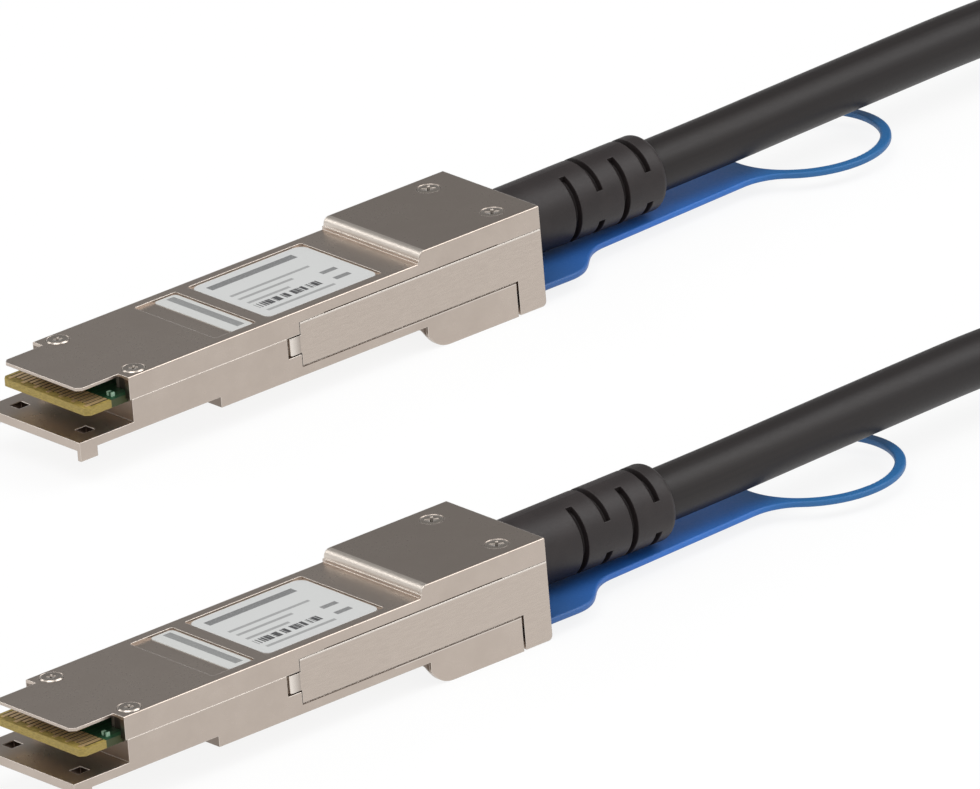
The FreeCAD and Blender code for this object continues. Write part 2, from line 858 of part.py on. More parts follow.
def jacket_path(points):
    """Straight runs joined by tangent arcs, each as large as its two runs allow."""
    edges = []
    radii = []
    last = points[0]
    for before, corner, after in zip(points, points[1:], points[2:]):
        back = before - corner
        ahead = after - corner
        turn = math.pi - back.getAngle(ahead)
        setback = bend_share * min(back.Length, ahead.Length)
        radius = setback / math.tan(turn / 2)
        back.normalize()
        ahead.normalize()
        start = corner + back * setback
        end = corner + ahead * setback
        inward = back + ahead
        inward.normalize()
        middle = corner + inward * (radius / math.cos(turn / 2) - radius)
        edges.append(line(last, start))
        edges.append(arc(start, middle, end))
        radii.append(round(radius, 1))
        last = end
    edges.append(line(last, points[-1]))
    return Part.Wire(edges), radii


def cable():
    """The jacketed cable, as a round tube along its route."""
    points = route_points()
    path, radii = jacket_path(points)
    section = Part.Wire(Part.makeCircle(cable_radius, points[0], points[1] - points[0]))
    tube = path.makePipeShell([section], True, False)
    print("bend radii", radii)
    print("cable length", round(path.Length, 2), "wanted", cable_length)
    exact = math.pi * cable_radius ** 2 * path.Length
    print("volume", round(tube.Volume, 1), "section times length", round(exact, 1))
    lowest = tube.optimalBoundingBox().ZMin
    print("lowest point", round(lowest, 3), "surface", -heel_drop)
    return tube


def place_in_part():
    """Shift from the first connector's axes to the part's: the middle of what rests there."""
    turn = math.radians(tab_yaw)
    tip_x = body_length + loop_reach * math.cos(turn) + loop_outer
    far_y = loop_reach * math.sin(turn) + loop_outer
    near_y = second_shift[1] - half_width
    return FreeCAD.Vector(-(second_shift[0] + tip_x) / 2, -(near_y + far_y) / 2, heel_drop)


def main():
    os.makedirs("parts", exist_ok=True)
    to_part = place_in_part()
    print("shift to part axes", to_part)
    second = FreeCAD.Vector(second_shift[0], second_shift[1], 0)
    for name, piece in connector().items():
        for suffix, shift in (("a", to_part), ("b", to_part + second)):
            placed = piece.copy()
            placed.translate(shift)
            placed.exportStep("parts/%s_%s.step" % (name, suffix))
    tube = cable()
    tube.translate(to_part)
    tube.exportStep("parts/cable.step")


main()
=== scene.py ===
import math

import bpy
from mathutils import Matrix, Vector


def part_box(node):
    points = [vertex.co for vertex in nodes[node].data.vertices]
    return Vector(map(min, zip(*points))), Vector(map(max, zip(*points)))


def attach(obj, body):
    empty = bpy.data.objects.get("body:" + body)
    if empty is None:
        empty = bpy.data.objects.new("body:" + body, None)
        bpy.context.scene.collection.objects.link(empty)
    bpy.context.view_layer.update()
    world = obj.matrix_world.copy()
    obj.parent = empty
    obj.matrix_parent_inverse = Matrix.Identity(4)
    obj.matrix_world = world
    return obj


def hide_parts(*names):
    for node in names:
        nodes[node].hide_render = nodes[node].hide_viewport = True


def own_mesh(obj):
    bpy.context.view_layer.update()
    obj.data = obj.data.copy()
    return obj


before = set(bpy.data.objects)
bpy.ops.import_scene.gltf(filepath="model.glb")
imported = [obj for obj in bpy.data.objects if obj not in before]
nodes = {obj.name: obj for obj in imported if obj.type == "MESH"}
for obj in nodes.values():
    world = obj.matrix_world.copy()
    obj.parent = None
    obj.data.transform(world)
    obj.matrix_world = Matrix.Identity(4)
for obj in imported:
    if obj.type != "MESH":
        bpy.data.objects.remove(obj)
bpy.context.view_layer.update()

mm = 0.001
heelDrop = 3.3  # how far the heel reaches below the body's underside
secondShift = Vector((-69.1, -82.0, 0)) * mm

# each connector's own axes start at its nose tip, in the middle, on the body's underside
shellLow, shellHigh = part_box("bottom_shell_a")
originA = Vector((shellLow.x, (shellLow.y + shellHigh.y) / 2, shellLow.z + heelDrop * mm))
origins = {"a": originA, "b": originA + secondShift}
bpy.ops.object.select_all(action="DESELECT")
print("frame loaded:", len(nodes), "CAD nodes")

# camera
cameraView = {
    "aim": (55.25437562, -20.53716748, -5.95245427),
    "right": (0.75899447, -0.64641695, -0.07792641),
    "down": (-0.29935751, -0.24017315, -0.92341861),
    "forward": (0.57819761, 0.72419748, -0.37579986),
    "distance": 4.0,  # in metres
    "lens": 1199.2,
    "sensor": 36,
    "clip": (0.1, 40),
}
cameraData = bpy.data.cameras.new("camera")
cameraData.lens = cameraView["lens"]
cameraData.sensor_width = cameraView["sensor"]
cameraData.clip_start, cameraData.clip_end = cameraView["clip"]
camera = bpy.data.objects.new("camera", cameraData)
bpy.context.scene.collection.objects.link(camera)
right, down, forward = (Vector(cameraView[way]) for way in ("right", "down", "forward"))
camera.matrix_world = Matrix.Translation(
    originA + Vector(cameraView["aim"]) * mm - forward * cameraView["distance"]
) @ Matrix((right, -down, -forward)).transposed().to_4x4()
bpy.context.scene.camera = camera

# the cable, in millimetres in the far connector's axes
cableRoute = {
    "points": [
        (70, 0, 4.45), (100, 0.1, 4.45), (132, 1.9, 4.5), (164, 3.7, 4.3), (195, 4.9, 1.6),
        (224.4, 4.4, 0.15), (245.9, -7.8, 0.15), (258.4, -29.2, 0.15), (258.8, -54, 0.15),
        (246.4, -75.4, 0.15), (224.9, -87.6, 0.15), (192, -87.9, 0.15), (159.5, -84.3, 0.15),
        (127.5, -80.2, 1.5), (94.9, -78.3, 4.3), (62.9, -80.1, 4.5), (30.9, -81.9, 4.45),
        (0.9, -82, 4.45),
    ],
    "radius": 3.45,
    "pointRadius": 3.3,
    "stepsAlong": 20,
    "stepsRound": 12,
    "length": 500,
    "leavesBoot": (98.8, 0, 4.45),
}


def makeCable(route):
    curve = bpy.data.curves.new("jacketedCable", "CURVE")
    curve.dimensions = "3D"
    spline = curve.splines.new("NURBS")
    spline.points.add(len(route["points"]) - 1)
    for point, place in zip(spline.points, route["points"]):
        point.co = (*(originA + Vector(place) * mm), 1)
        # the box around a curve counts its points' radius, so they carry nearly the real one
        point.radius = route["pointRadius"] * mm
    spline.order_u = 3
    spline.use_endpoint_u = True
    curve.resolution_u = route["stepsAlong"]
    curve.bevel_depth = route["radius"] / route["pointRadius"]
    curve.bevel_resolution = route["stepsRound"]
    curve.use_fill_caps = True
    cable = bpy.data.objects.new("jacketedCable", curve)
    bpy.context.scene.collection.objects.link(cable)
    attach(cable, "cable_assembly")
    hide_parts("cable")
    return cable


cable = makeCable(cableRoute)
print("camera and cable made")


# materials: below, a noise entry is its scale per millimetre, its detail and its roughness, a
# bump entry its strength and its depth in millimetres, and a rounding entry its radius in
# millimetres and how much turned a surface counts as a full edge
wideNoise = (0.3, 0.7)  # where most of a noise's values lie
narrowNoise = (0.35, 0.65)


def paint(red, green, blue):
    # screen values 0 to 255 as the linear colour a shader takes
    levels = [c / 255 for c in (red, green, blue)]
    return (*(c / 12.92 if c <= 0.04045 else ((c + 0.055) / 1.055) ** 2.4 for c in levels), 1)


class Link:
    def __init__(self, finish, socket):
        self.finish, self.socket = finish, socket

    def maths(self, operation, first, second=0.0):
        return self.finish.add("ShaderNodeMath", {"operation": operation}, {0: first, 1: second})

    def __add__(self, other):
        return self.maths("ADD", self, other)

    def __radd__(self, other):
        return self.maths("ADD", other, self)

    def __sub__(self, other):
        return self.maths("SUBTRACT", self, other)

    def __rsub__(self, other):
        return self.maths("SUBTRACT", other, self)

    def __mul__(self, other):
        return self.maths("MULTIPLY", self, other)

    def __rmul__(self, other):
        return self.maths("MULTIPLY", other, self)

    def __truediv__(self, other):
        return self.maths("DIVIDE", self, other)

    def __rtruediv__(self, other):
        return self.maths("DIVIDE", other, self)

    def __gt__(self, other):
        return self.maths("GREATER_THAN", self, other)

    def __lt__(self, other):
        return self.maths("LESS_THAN", self, other)

    def __abs__(self):
        return self.maths("ABSOLUTE", self)

    def atLeast(self, other):
        return self.maths("MAXIMUM", self, other)

    def atMost(self, other):
        return self.maths("MINIMUM", self, other)

    def fraction(self):
        return self.maths("FRACT", self)


class Finish:
    def __init__(self, name, **constants):
        self.material = bpy.data.materials.new(name)
        self.material.use_nodes = True
        self.tree = self.material.node_tree
        self.shader = self.tree.nodes["Principled BSDF"]
        for socket, value in constants.items():
            self.shader.inputs[socket.replace("_", " ")].default_value = value

    def add(self, kind, settings=None, inputs=None, output=0):
        node = self.tree.nodes.new(kind)
        for key, value in (settings or {}).items():
            if key == "stops":
                ramp = node.color_ramp.elements
                while len(ramp) < len(value):
                    ramp.new(0.5)
                for stop, (place, colour) in zip(ramp, value):
                    stop.position, stop.color = place, colour
            else:
                setattr(node, key, value)
        for socket, value in (inputs or {}).items():
            if isinstance(value, Link):
                self.tree.links.new(value.socket, node.inputs[socket])
            else:
                node.inputs[socket].default_value = value
        return Link(self, node.outputs[output])

    def places(self, origin=(0, 0, 0), stretch=(1, 1, 1)):
        # object coordinates in millimetres from an origin, stretched along an axis for streaks
        coords = self.add("ShaderNodeTexCoord", output="Object")
        scale = [s / mm for s in stretch]
        return self.add("ShaderNodeMapping", {}, {
            0: coords, 1: [-o * s for o, s in zip(origin, scale)], 3: scale,
        })

    def axes(self, places):
        parts = self.add("ShaderNodeSeparateXYZ", {}, {0: places}).socket.node
        return [Link(self, parts.outputs[i]) for i in range(3)]

    def noise(self, places, scale, detail=2.0, roughness=0.5):
        return self.add("ShaderNodeTexNoise", {}, {
            "Vector": places, "Scale": scale, "Detail": detail, "Roughness": roughness,
        })

    def spread(self, value, low, high, fromLow=0.0, fromHigh=1.0):
        return self.add("ShaderNodeMapRange", {}, {
            0: value, 1: fromLow, 2: fromHigh, 3: low, 4: high,
        })

    def blend(self, factor, first, second):
        return self.add("ShaderNodeMix", {"data_type": "RGBA"}, {0: factor, 6: first, 7: second},
                        output=2)

    def softNormal(self, radius):
        return self.add("ShaderNodeBevel", {"samples": 12}, {0: radius * mm})

    def flatNormal(self):
        return self.add("ShaderNodeNewGeometry", output="Normal")

    def eitherNormal(self, factor, first, second):
        return self.add("ShaderNodeMix", {"data_type": "VECTOR"},
                        {0: factor, 4: first, 5: second}, output=1)

    def edges(self, soft, turn):
        # 0 on a flat, up to 1 where rounding turns the normal enough, on outer and inner edges
        flat = self.flatNormal()
        same = self.add("ShaderNodeVectorMath", {"operation": "DOT_PRODUCT"},
                        {0: soft, 1: flat}, output="Value")
        return self.spread(1 - same, 0.0, 1.0, 0.0, turn)

    def bump(self, height, strength, distance, normal=None):
        inputs = {"Strength": strength, "Distance": distance * mm, "Height": height}
        if normal:
            inputs["Normal"] = normal
        return self.add("ShaderNodeBump", {}, inputs)

    def wear(self, **links):
        for socket, link in links.items():
            self.tree.links.new(link.socket, self.shader.inputs[socket.replace("_", " ")])
        return self.material


def inside(value, low, high):
    return (value > low) * (value < high)


def dress(material, *names):
    for name in names:
        nodes[name].material_slots[0].material = material


def bothEnds(*names):
    return [name + "_" + end for name in names for end in origins]


# nickel-plated casting: satin grain, cloudy tarnish, brighter along its edges as a painted
# highlight, with painted shade in its joints, holes and recesses
casting = {
    "base": (0.53, 0.457, 0.4, 1),
    "cloud": (0.49, 0.42, 0.366, 1),
    # painted highlight colour for the rounded edges, the seam and the lit bands
    "edge": (0.74, 0.68, 0.62, 1),
    # painted shade colour for the joints, holes, recesses and the block's top
    "paintedShade": (0.09, 0.064, 0.05, 1),
    "roughness": (0.27, 0.34),
    "cloudRough": 0.08,
    "edgeSmooth": 0.06,
    "cloudNoise": (0.16, 4.0, 0.6),
    "cloudRange": (0.35, 0.7),
    "grainNoise": (2.6, 3.0, 0.65),
    "fineNoise": (7.0, 2.0),
    "fineShare": 0.3,
    "bump": (0.09, 0.02),
    "rounding": (0.16, 0.16),
    "edgeHighlightShare": 0.65,
    # painted shade in the joints beside the latch arm
    "paintedShadeBands": [  # low, high, from, to
        (7.02, 7.13, 39.5, 67.5), (1.12, 1.25, 35.5, 75.0),
    ],
    # painted highlight on the lower joint's rim
    "litBands": [(0.98, 1.12, 50.0, 70.0)],
    "litShare": 0.7,
    # painted highlight on the seam between cover and shell
    "seamHighlightBand": (5.42, 5.56),
    "seamHighlightShare": 0.45,
    "pocket": (8.15, 8.46),
    # the slope up to the rear block is painted paler as a highlight, the block's top painted a
    # little darker as shade
    "ramp": {"x": (54.7, 56.05), "low": 9.0, "colour": (0.68, 0.62, 0.56, 1), "rough": 0.12},
    "block": {"low": 9.9, "shade": 0.2},
    "faceEdge": 9.1,
    "shaded": {  # holes and faces that little light reaches
        "window": {"x": (2.3, 4.3), "y": (5.2, 7.2), "z": (1.3, 2.46), "depth": 1.0},
        "witness": {"x": (53.9, 55.5), "y": (8.6, 9.12), "z": (-1.35, 0.01), "depth": 0.7},
        "mouth": {"x": (8.35, 9.7), "y": (6.0, 9.08), "z": (5.56, 8.06), "depth": 0.75},
        "step": {"x": (22.3, 22.5), "y": (-1.0, 9.12), "z": (0.02, 1.38), "depth": 0.65},
    },
}


def castingFinish(name, look, origin):
    finish = Finish(name, Metallic=1.0)
    places = finish.places(origin)
    x, y, z = finish.axes(places)
    cloud = finish.noise(places, *look["cloudNoise"])
    grain = finish.noise(places, *look["grainNoise"])
    fine = finish.noise(places, *look["fineNoise"])
    inPocket = inside(z, *look["pocket"])
    radius, turn = look["rounding"]
    soft = finish.eitherNormal(inPocket, finish.softNormal(radius), finish.flatNormal())
    edge = finish.edges(soft, turn)
    colour = finish.blend(finish.spread(cloud, 0.0, 1.0, *look["cloudRange"]), look["base"],
                          look["cloud"])
    onSide = abs(y) > look["faceEdge"]
    # painted highlight on the ramp, painted shade on the block's top
    ramp = inside(x, *look["ramp"]["x"]) * (z > look["ramp"]["low"]) * (1 - onSide)
    paintedBlockShade = (z > look["block"]["low"]) * (1 - onSide) * look["block"]["shade"]
    colour = finish.blend(paintedBlockShade, colour, look["paintedShade"])
    colour = finish.blend(ramp, colour, look["ramp"]["colour"])
    # the rounded edges are painted paler as a highlight
    colour = finish.blend(edge * look["edgeHighlightShare"], colour, look["edge"])
    # painted shade in the joints beside the latch arm, painted highlight on the seam and the
    # lower joint's rim
    dark, lit = 0.0, inside(z, *look["seamHighlightBand"]) * look["seamHighlightShare"]
    for low, high, start, stop in look["paintedShadeBands"]:
        dark = inside(z, low, high) * inside(x, start, stop) * onSide + dark
    for low, high, start, stop in look["litBands"]:
        lit = inside(z, low, high) * inside(x, start, stop) * onSide * look["litShare"] + lit
    for part in look["shaded"].values():
        inPart = inside(x, *part["x"]) * inside(abs(y), *part["y"])
        dark = inPart * inside(z, *part["z"]) * part["depth"] + dark
    colour = finish.blend(dark.atMost(1.0), finish.blend(lit, colour, look["edge"]),
                          look["paintedShade"])
    roughness = finish.spread(grain, *look["roughness"], *wideNoise)
    roughness = roughness + (cloud - 0.5) * look["cloudRough"] - edge * look["edgeSmooth"]
    roughness = roughness + ramp * look["ramp"]["rough"]
    height = grain * (1 - look["fineShare"]) + fine * look["fineShare"]
    return finish.wear(Base_Color=colour, Roughness=roughness,
                       Normal=finish.bump(height, *look["bump"], soft))


for end, origin in origins.items():
    dress(castingFinish("nickelCasting_" + end, casting, origin), "top_cover_" + end,
          "bottom_shell_" + end)

# latch sheet: smoother, with fine rolling lines along its length, painted highlights on its
# edges and tongue and painted shade behind the tongue's ridge
latchSheet = {
    "base": (0.545, 0.472, 0.414, 1),
    "line": (0.505, 0.436, 0.382, 1),
    # painted highlight colour for the edges
    "edge": (0.76, 0.7, 0.64, 1),
    "stretch": (0.12, 1, 1),
    "streakNoise": (4.0, 4.0, 0.6),
    "grainNoise": (3.2, 2.0),
    "grainShare": 0.6,
    "bump": (0.1, 0.015),
    "rounding": (0.12, 0.16),
    "edgeHighlightShare": 0.8,
    "armShare": 0.9,
    "roughness": (0.24, 0.33),
    "side": 8.9,
    "armEdge": (6.75, 7.0),
    "tongue": {"ridge": 34.1, "back": 35.45, "lit": (0.78, 0.72, 0.66, 1),
               "shade": (0.4, 0.35, 0.31, 1)},
}


def sheetFinish(name, look, origin):
    finish = Finish(name, Metallic=1.0)
    x, y, z = finish.axes(finish.places(origin))
    streaks = finish.noise(finish.places(stretch=look["stretch"]), *look["streakNoise"])
    grain = finish.noise(finish.places(), *look["grainNoise"])
    radius, turn = look["rounding"]
    soft = finish.softNormal(radius)
    edge = finish.edges(soft, turn)
    colour = finish.blend(finish.spread(streaks, 0.0, 1.0, *wideNoise), look["base"],
                          look["line"])
    colour = finish.blend(edge * look["edgeHighlightShare"], colour, look["edge"])
    # painted highlight on the arm's upper edge and the front of its tongue, painted shade
    # towards the tongue's back
    tongue = look["tongue"]
    armHighlight = inside(z, *look["armEdge"]) * (abs(y) > look["side"])
    colour = finish.blend(armHighlight * look["armShare"], colour, look["edge"])
    # the tongue's wedge is painted, lit at its ridge and shaded towards its back
    turned = finish.spread(x, 0.0, 1.0, tongue["ridge"], tongue["back"])
    colour = finish.blend(x < tongue["back"], colour,
                          finish.blend(turned, tongue["lit"], tongue["shade"]))
    height = streaks * (1 - look["grainShare"]) + grain * look["grainShare"]
    return finish.wear(
        Base_Color=colour,
        Roughness=finish.spread((streaks + grain) / 2, *look["roughness"], *narrowNoise),
        Normal=finish.bump(height, *look["bump"], soft),
    )


for end, origin in origins.items():
    dress(sheetFinish("latchSheet_" + end, latchSheet, origin), "latch_yoke_" + end)

# pull tab: moulded blue plastic, glossier along the worn edges, which are painted paler as a
# highlight, with light and shade painted along its length
tabPlastic = {
    # the root is painted darker as the boot's reflection, the strip and loop painted brighter as
    # light
    "stops": [  # distance from the nose in millimetres, colour
        (78, (46, 90, 150)), (92, (44, 106, 190)), (112, (42, 108, 188)), (119, (34, 100, 156)),
    ],
    # painted highlight colour for the edges
    "edge": (66, 136, 190),
    "edgeHighlightShare": 0.6,
    "edgeSmooth": 0.08,
    "shade": (20, 40, 80),
    "shadeShare": 0.16,
    "cloudNoise": (0.12, 3.0),
    "grainNoise": (3.0, 3.0, 0.6),
    "bump": (0.12, 0.02),
    "rounding": (0.3, 0.2),
    "roughness": (0.38, 0.5),
}


def tabFinish(name, look, origin):
    finish = Finish(name, Specular_IOR_Level=0.45)
    places = finish.places(origin)
    x = finish.axes(places)[0]
    cloud = finish.noise(places, *look["cloudNoise"])
    grain = finish.noise(places, *look["grainNoise"])
    radius, turn = look["rounding"]
    soft = finish.softNormal(radius)
    edge = finish.edges(soft, turn)
    stops = look["stops"]
    first, last = stops[0][0], stops[-1][0]
    colour = finish.add("ShaderNodeValToRGB", {"stops": [
        ((place - first) / (last - first), paint(*tint)) for place, tint in stops
    ]}, {0: (x - first) / (last - first)})
    colour = finish.blend(finish.spread(cloud, 0.0, look["shadeShare"], *narrowNoise), colour,
                          paint(*look["shade"]))
    colour = finish.blend(edge * look["edgeHighlightShare"], colour, paint(*look["edge"]))
    rough = finish.spread(grain, *look["roughness"], *wideNoise)
    return finish.wear(
        Base_Color=colour,
        Roughness=rough - edge * look["edgeSmooth"],
        Normal=finish.bump(grain, *look["bump"], soft),
    )


for end, origin in origins.items():
    dress(tabFinish("tabPlastic_" + end, tabPlastic, origin), "pull_tab_" + end)

# boot: matt moulded rubber with a spark-eroded grain
bootRubber = {
    "base": (35, 29, 29),
    "dust": (51, 44, 43),
    "dustRange": (0.0, 0.35, 0.45, 0.75),
    "dustEdge": 0.35,
    "grainNoise": (4.5, 4.0, 0.7),
    "cloudNoise": (0.3, 3.0),
    "bump": (0.3, 0.03),
    "rounding": (0.2, 0.3),
    "roughness": (0.42, 0.58),
}


def bootFinish(name, look):
    finish = Finish(name, Specular_IOR_Level=0.4)
    places = finish.places()
    grain = finish.noise(places, *look["grainNoise"])
    cloud = finish.noise(places, *look["cloudNoise"])
    radius, turn = look["rounding"]
    soft = finish.softNormal(radius)
    edge = finish.edges(soft, turn)
    dust = finish.spread(cloud, *look["dustRange"]) + edge * look["dustEdge"]
    return finish.wear(
        Base_Color=finish.blend(dust, paint(*look["base"]), paint(*look["dust"])),
        Roughness=finish.spread(grain, *look["roughness"], *wideNoise),
        Normal=finish.bump(grain, *look["bump"], soft),
    )


dress(bootFinish("bootRubber", bootRubber), *bothEnds("cable_boot"))

# cable jacket: extruded, so its faint lines follow the cable
jacket = {
    "base": (24, 19, 19),
    "line": (31, 26, 25),
    "roughness": (0.4, 0.52),
    "aroundScale": 46.0,
    "alongScale": 9.0,
    "lineNoise": (1.0, 4.0, 0.6),  # this one's scale counts along and around the curve
    "grainNoise": (3.0, 3.0, 0.6),
    "bump": (0.2, 0.03),
}


def jacketFinish(name, look):
    finish = Finish(name, Specular_IOR_Level=0.36)
    uv = finish.add("ShaderNodeTexCoord", output="UV")
    along = finish.add("ShaderNodeMapping", {}, {
        0: uv, 3: (look["alongScale"], look["aroundScale"], 1),
    })
    lines = finish.noise(along, *look["lineNoise"])
    grain = finish.noise(finish.places(), *look["grainNoise"])
    relief = (lines + grain) / 2
    return finish.wear(
        Base_Color=finish.blend(finish.spread(lines, 0.0, 1.0, *narrowNoise),
                                paint(*look["base"]), paint(*look["line"])),
        Roughness=finish.spread(relief, *look["roughness"], *narrowNoise),
        Normal=finish.bump(relief, *look["bump"]),
    )


cable.data.materials.append(jacketFinish("cableJacket", jacket))

# card: bare glass laminate at the nose, dark green mask behind the contacts
cardBoard = {
    "laminate": (168, 147, 77),
    "laminateDark": (132, 114, 56),
    "between": (30, 24, 12),
    "mask": (24, 62, 40),
    "trace": (34, 84, 52),
    "sideMask": (58, 66, 34),
    "contacts": (3.4, 6.2),
    "maskStart": 6.2,
    "tracesEnd": 40,
    "faces": (5.02, 5.98),
    "pitch": 0.8,
    "pitchesBefore": 100,  # keeps the count of pitches above zero
    "betweenPart": (0.36, 0.64),
    "tracePart": (0.32, 0.68),
    "weaveStretch": (1, 1, 5),
    "weaveNoise": (2.2, 3.0),
    "weaveRough": 0.1,
    "roughness": 0.55,
    "maskSmooth": 0.22,
    "traceShare": 0.6,
    "bump": (0.25, 0.03),
}


def cardFinish(name, look, origin):
    finish = Finish(name, Specular_IOR_Level=0.5)
    x, y, z = finish.axes(finish.places(origin))
    weave = finish.noise(finish.places(origin, look["weaveStretch"]), *look["weaveNoise"])
    onFace = 1 - inside(z, *look["faces"])
    masked = onFace * (x > look["maskStart"])
    pitch = (y / look["pitch"] + look["pitchesBefore"]).fraction()
    between = onFace * inside(x, *look["contacts"]) * inside(pitch, *look["betweenPart"])
    traces = inside(pitch, *look["tracePart"]) * (x < look["tracesEnd"])
    bare = finish.blend(finish.spread(weave, 0.0, 1.0, *narrowNoise),
                        paint(*look["laminate"]), paint(*look["laminateDark"]))
    bare = finish.blend(between, bare, paint(*look["between"]))
    bare = finish.blend((x > look["maskStart"]) * (1 - onFace), bare, paint(*look["sideMask"]))
    green = finish.blend(traces, paint(*look["mask"]), paint(*look["trace"]))
    height = weave * (1 - look["traceShare"]) + traces * masked * look["traceShare"]
    rough = look["roughness"] - masked * look["maskSmooth"] + weave * look["weaveRough"]
    return finish.wear(
        Base_Color=finish.blend(masked, bare, green),
        Roughness=rough,
        Normal=finish.bump(height, *look["bump"]),
    )


# contacts: hard gold, with the faint wipe marks of insertion
contactGold = {
    "base": (0.8, 0.58, 0.27, 1),
    "worn": (0.8, 0.56, 0.34, 1),
    "metallic": 0.6,
    "roughness": (0.3, 0.45),
    "wornRange": (0.4, 0.7),
    "stretch": (0.25, 3, 1),
    "wipeNoise": (3.0, 3.0),
    "bump": (0.1, 0.01),
}


def goldFinish(name, look):
    finish = Finish(name, Metallic=look["metallic"])
    wipes = finish.noise(finish.places(stretch=look["stretch"]), *look["wipeNoise"])
    return finish.wear(
        Base_Color=finish.blend(finish.spread(wipes, 0.0, 1.0, *look["wornRange"]), look["base"],
                                look["worn"]),
        Roughness=finish.spread(wipes, *look["roughness"], *wideNoise),
        Normal=finish.bump(wipes, *look["bump"]),
    )


dress(goldFinish("contactGold", contactGold), *bothEnds("gold_contacts"))


# small parts inside: each gets its own colour range and grain
innerParts = {
    "return_springs": {
        "name": "springSteel", "metallic": 1.0, "stretch": (1, 1, 1), "scale": 3.0,
        "colours": ((0.5, 0.48, 0.46, 1), (0.62, 0.6, 0.57, 1)), "roughness": (0.22, 0.34),
    },
    "crimp_ferrule": {
        "name": "ferruleMetal", "metallic": 1.0, "stretch": (6, 1, 1), "scale": 2.0,
        "colours": ((0.55, 0.51, 0.46, 1), (0.47, 0.43, 0.39, 1)), "roughness": (0.26, 0.4),
    },
    "memory_chip": {
        "name": "chipResin", "metallic": 0.0, "stretch": (1, 1, 1), "scale": 5.0,
        "colours": (paint(34, 34, 36), paint(46, 46, 48)), "roughness": (0.45, 0.6),
    },
    "twinax_pairs": {
        "name": "wireFoil", "metallic": 1.0, "stretch": (0.4, 2, 2), "scale": 1.6,
        "colours": ((0.62, 0.61, 0.6, 1), (0.5, 0.5, 0.49, 1)), "roughness": (0.2, 0.38),
    },
    "wire_glue": {
        "name": "glueResin", "metallic": 0.0, "stretch": (1, 1, 1), "scale": 0.8,
        "colours": (paint(206, 170, 96), paint(186, 146, 74)), "roughness": (0.12, 0.25),
    },
}
innerGrain = {"detail": 3.0, "roughness": 0.6, "radius": 0.08, "bump": (0.25, 0.03)}


def grainFinish(look, shared):
    finish = Finish(look["name"], Metallic=look["metallic"])
    grain = finish.noise(finish.places(stretch=look["stretch"]), look["scale"],
                         shared["detail"], shared["roughness"])
    soft = finish.softNormal(shared["radius"])
    return finish.wear(
        Base_Color=finish.blend(finish.spread(grain, 0.0, 1.0, *narrowNoise), *look["colours"]),
        Roughness=finish.spread(grain, *look["roughness"], *wideNoise),
        Normal=finish.bump(grain, *shared["bump"], soft),
    )


for part, look in innerParts.items():
    dress(grainFinish(look, innerGrain), *bothEnds(part))


# capacitors: tan ceramic behind, a pale one among green ones by the contacts, pale green with a
# painted glint
ceramic = {
    "tan": (168, 138, 104),
    "tanStart": 8.4,
    # a pale green painted bright as a glint
    "pale": (176, 214, 188),
    "paleGlintBand": (-7.3, -6.9),
    "green": (30, 84, 58),
    "dust": (90, 84, 70),
    "dustShare": 0.3,
    "grainNoise": (5.0, 3.0),
    "grainRough": 0.2,
    "roughness": 0.3,
    "bump": (0.2, 0.02),
}


def ceramicFinish(name, look, origin):
    finish = Finish(name, Specular_IOR_Level=0.5)
    places = finish.places(origin)
    x, y = finish.axes(places)[:2]
    grain = finish.noise(places, *look["grainNoise"])
    colour = finish.blend(inside(y, *look["paleGlintBand"]), paint(*look["pale"]),
                          paint(*look["green"]))
    colour = finish.blend(x > look["tanStart"], colour, paint(*look["tan"]))
    return finish.wear(
        Base_Color=finish.blend(grain * look["dustShare"], colour, paint(*look["dust"])),
        Roughness=look["roughness"] + grain * look["grainRough"],
        Normal=finish.bump(grain, *look["bump"]),
    )


# braid: two crossing sets of fine wires round the bundle, with painted shade between them
braid = {
    "wire": (0.66, 0.6, 0.52, 1),
    # painted shade between the wires
    "paintedShade": (0.18, 0.15, 0.12, 1),
    "around": 14.0,
    "lean": 1.6,
    "axisHeight": 4.45,
    "wiresBefore": 200,  # keeps the count of wires above zero
    "ridgeRange": (0.4, 0.6),
    "ridgeSmooth": 0.15,
    "roughness": 0.42,
    "bump": (0.6, 0.12),
}


def braidFinish(name, look, origin):
    finish = Finish(name, Metallic=1.0)
    x, y, z = finish.axes(finish.places(origin))
    up = z - look["axisHeight"]
    turn = up.maths("ARCTAN2", up, y) / math.tau * look["around"]
    lean = x * look["lean"]
    first = (turn + lean + look["wiresBefore"]).fraction()
    second = (turn - lean + look["wiresBefore"]).fraction()
    ridge = (1 - abs(first * 2 - 1)).atLeast(1 - abs(second * 2 - 1))
    return finish.wear(
        Base_Color=finish.blend(finish.spread(ridge, 0.0, 1.0, *look["ridgeRange"]), look["paintedShade"],
                                look["wire"]),
        Roughness=look["roughness"] - ridge * look["ridgeSmooth"],
        Normal=finish.bump(ridge, *look["bump"]),
    )


